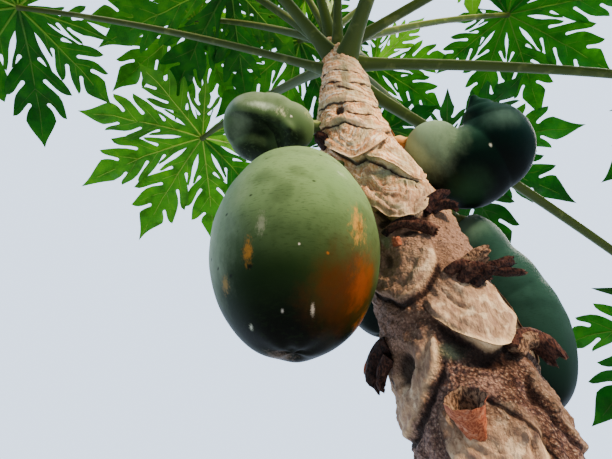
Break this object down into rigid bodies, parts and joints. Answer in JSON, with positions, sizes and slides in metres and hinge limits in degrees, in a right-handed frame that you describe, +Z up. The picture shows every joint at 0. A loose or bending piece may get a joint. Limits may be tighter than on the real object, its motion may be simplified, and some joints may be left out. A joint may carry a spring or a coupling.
{
  "type": "papaya tree",
  "caption": "Whole leaning papaya tree with a leaf-scarred trunk, a spiral crown of long-stalked lobed leaves and green fruits hung below the crown.",
  "frame": {"origin": "middle of the flat cut under the trunk, at ground level", "axes": "+Z up; the trunk leans towards -X; the picture was taken from the -Y side, looking up"},
  "size_m": [1.7129, 1.4538, 2.6364],
  "materials": {
    "bark": "rough dry bark with paler papery leaf scars",
    "stalk": "smooth waxy green skin, paler on top",
    "blade": "thin matte green leaf with raised pale veins",
    "young": "soft light green furled leaf",
    "fruit_skin": "satin green skin turning orange where it ripens"
  },
  "bodies": {
    "root": {"trunk": "bark", "growing_tip": "young", "leaf_stalk_01": "stalk", "leaf_stalk_02": "stalk", "leaf_stalk_03": "stalk", "leaf_stalk_04": "stalk", "leaf_stalk_05": "stalk", "leaf_stalk_06": "stalk", "leaf_stalk_07": "stalk", "leaf_stalk_08": "stalk", "leaf_stalk_09": "stalk", "leaf_stalk_10": "stalk", "leaf_stalk_11": "stalk", "leaf_stalk_12": "stalk", "leaf_stalk_13": "stalk", "leaf_stalk_14": "stalk", "leaf_stalk_15": "stalk", "leaf_stalk_16": "stalk", "leaf_stalk_17": "stalk", "leaf_stalk_18": "stalk", "leaf_stalk_19": "stalk", "leaf_stalk_20": "stalk", "leaf_blade_01": "blade", "leaf_blade_02": "blade", "leaf_blade_03": "blade", "leaf_blade_04": "blade", "leaf_blade_05": "blade", "leaf_blade_06": "blade", "leaf_blade_07": "blade", "leaf_blade_08": "blade", "leaf_blade_09": "blade", "leaf_blade_10": "blade", "leaf_blade_11": "blade", "leaf_blade_12": "blade", "leaf_blade_13": "blade", "leaf_blade_14": "blade", "leaf_blade_15": "blade", "leaf_blade_16": "blade", "leaf_blade_17": "blade", "leaf_blade_18": "blade", "leaf_blade_19": "blade", "leaf_blade_20": "blade", "fruit_stalk_1": "stalk", "fruit_stalk_2": "stalk", "fruit_stalk_3": "stalk", "fruit_stalk_4": "stalk", "fruit_stalk_5": "stalk", "fruit_1": "fruit_skin", "fruit_2": "fruit_skin", "fruit_3": "fruit_skin", "fruit_4": "fruit_skin", "fruit_5": "fruit_skin"}
  },
  "joints": []
}
